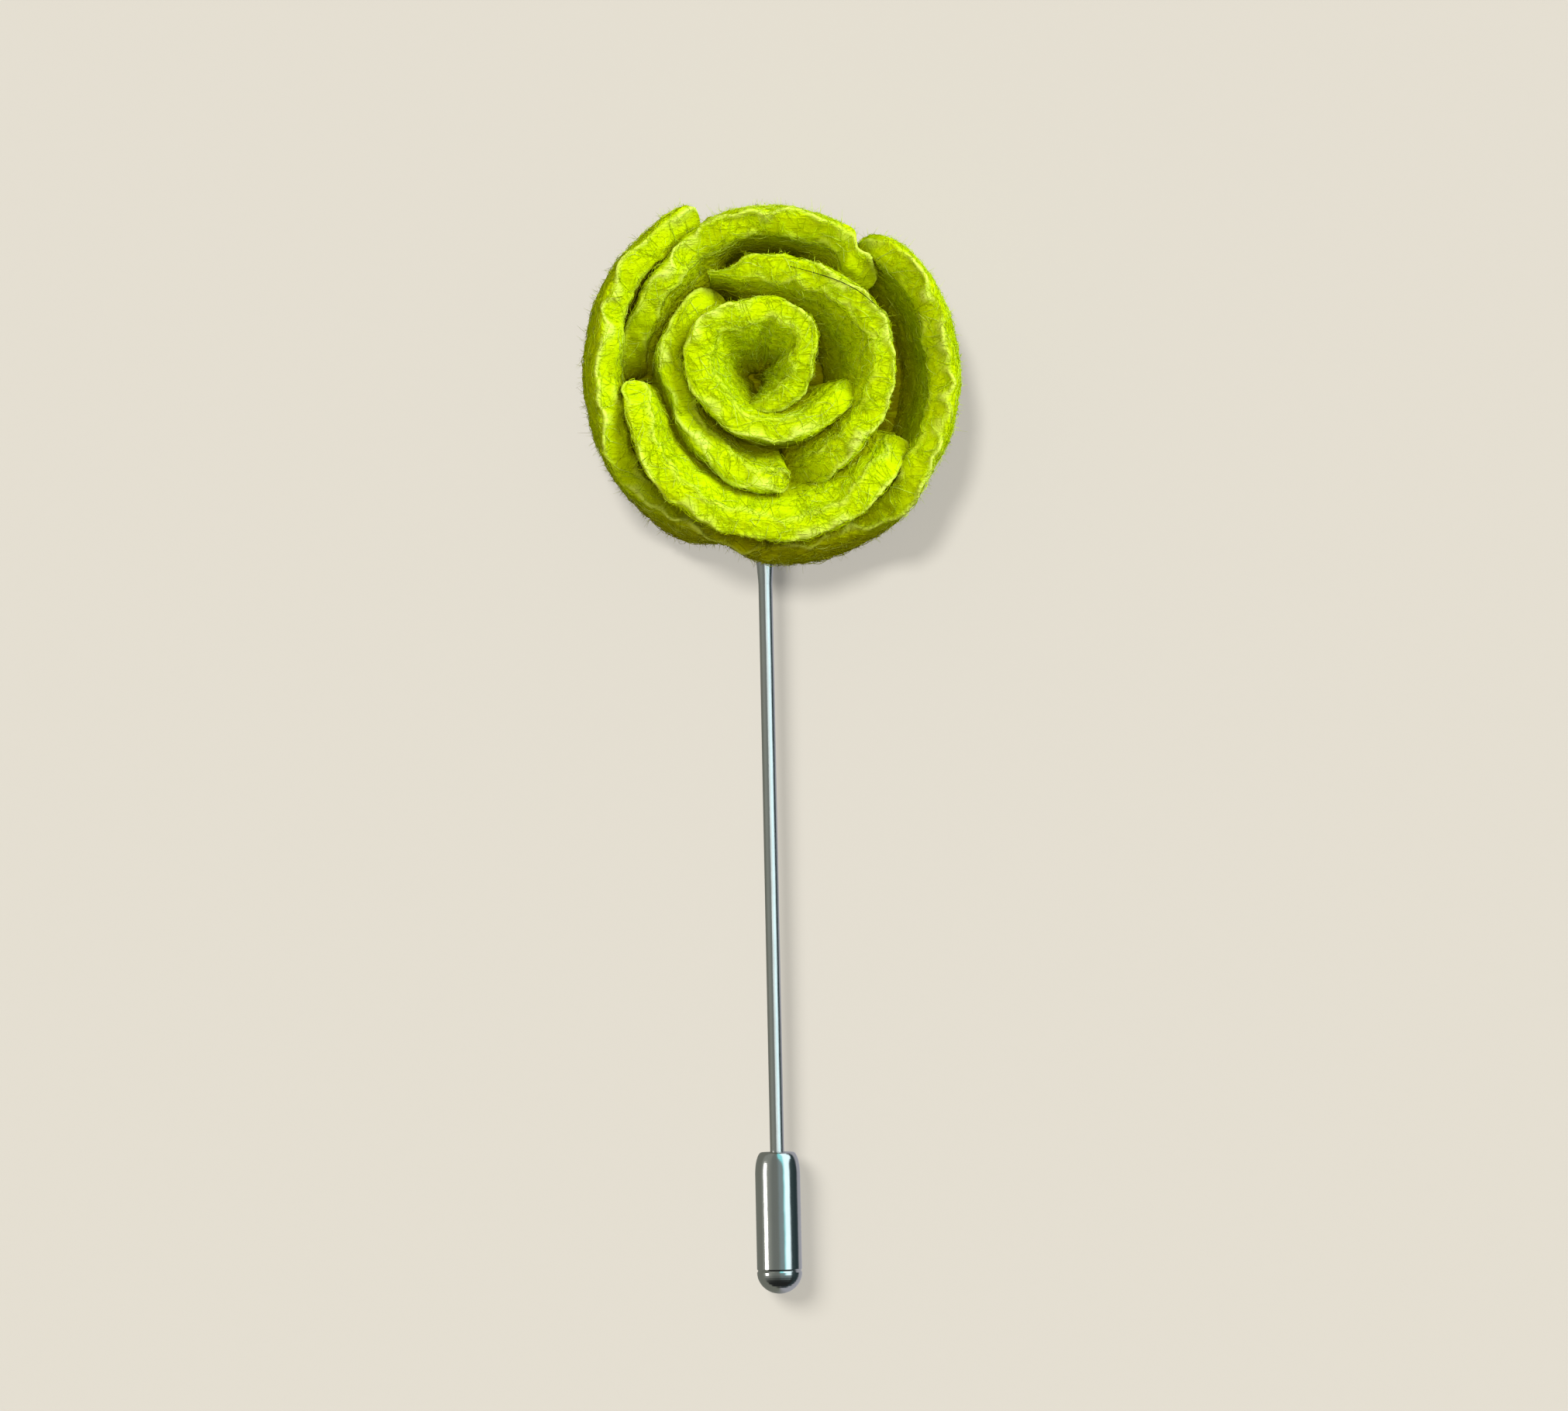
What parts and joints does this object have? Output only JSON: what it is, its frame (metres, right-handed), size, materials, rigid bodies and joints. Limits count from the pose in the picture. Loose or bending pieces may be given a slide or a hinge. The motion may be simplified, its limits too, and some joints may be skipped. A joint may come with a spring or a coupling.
{
  "type": "flower lapel pin",
  "caption": "Lapel pin with a rolled felt rose on a long straight stick pin, and a slide-on bullet clutch that covers the point.",
  "frame": {"origin": "middle of the felt pad's flat back, which lies on the ground", "axes": "+Z out of the flower's face, away from the ground; +Y along the pin from the clutch to the flower; +X to the right as the face is seen"},
  "size_m": [0.0337, 0.0966, 0.0138],
  "materials": {
    "felt": "boiled wool felt, fuzzy",
    "felt_pad": "flat wool felt",
    "pin_metal": "polished nickel plate",
    "clutch_metal": "polished nickel plate"
  },
  "bodies": {
    "flower_pin": {"petal_left": "felt", "petal_top": "felt", "petal_right": "felt", "petal_bottom": "felt", "inner_petal_right": "felt", "inner_petal_left": "felt", "centre_roll": "felt", "felt_base": "felt_pad", "stick_pin": "pin_metal"},
    "clutch": {"clutch": "clutch_metal"}
  },
  "joints": [
    {"name": "clutch_slide", "type": "slide", "parent": "flower_pin", "child": "clutch", "axis": [0, -1, 0], "range_m": [0, 0.03]}
  ]
}
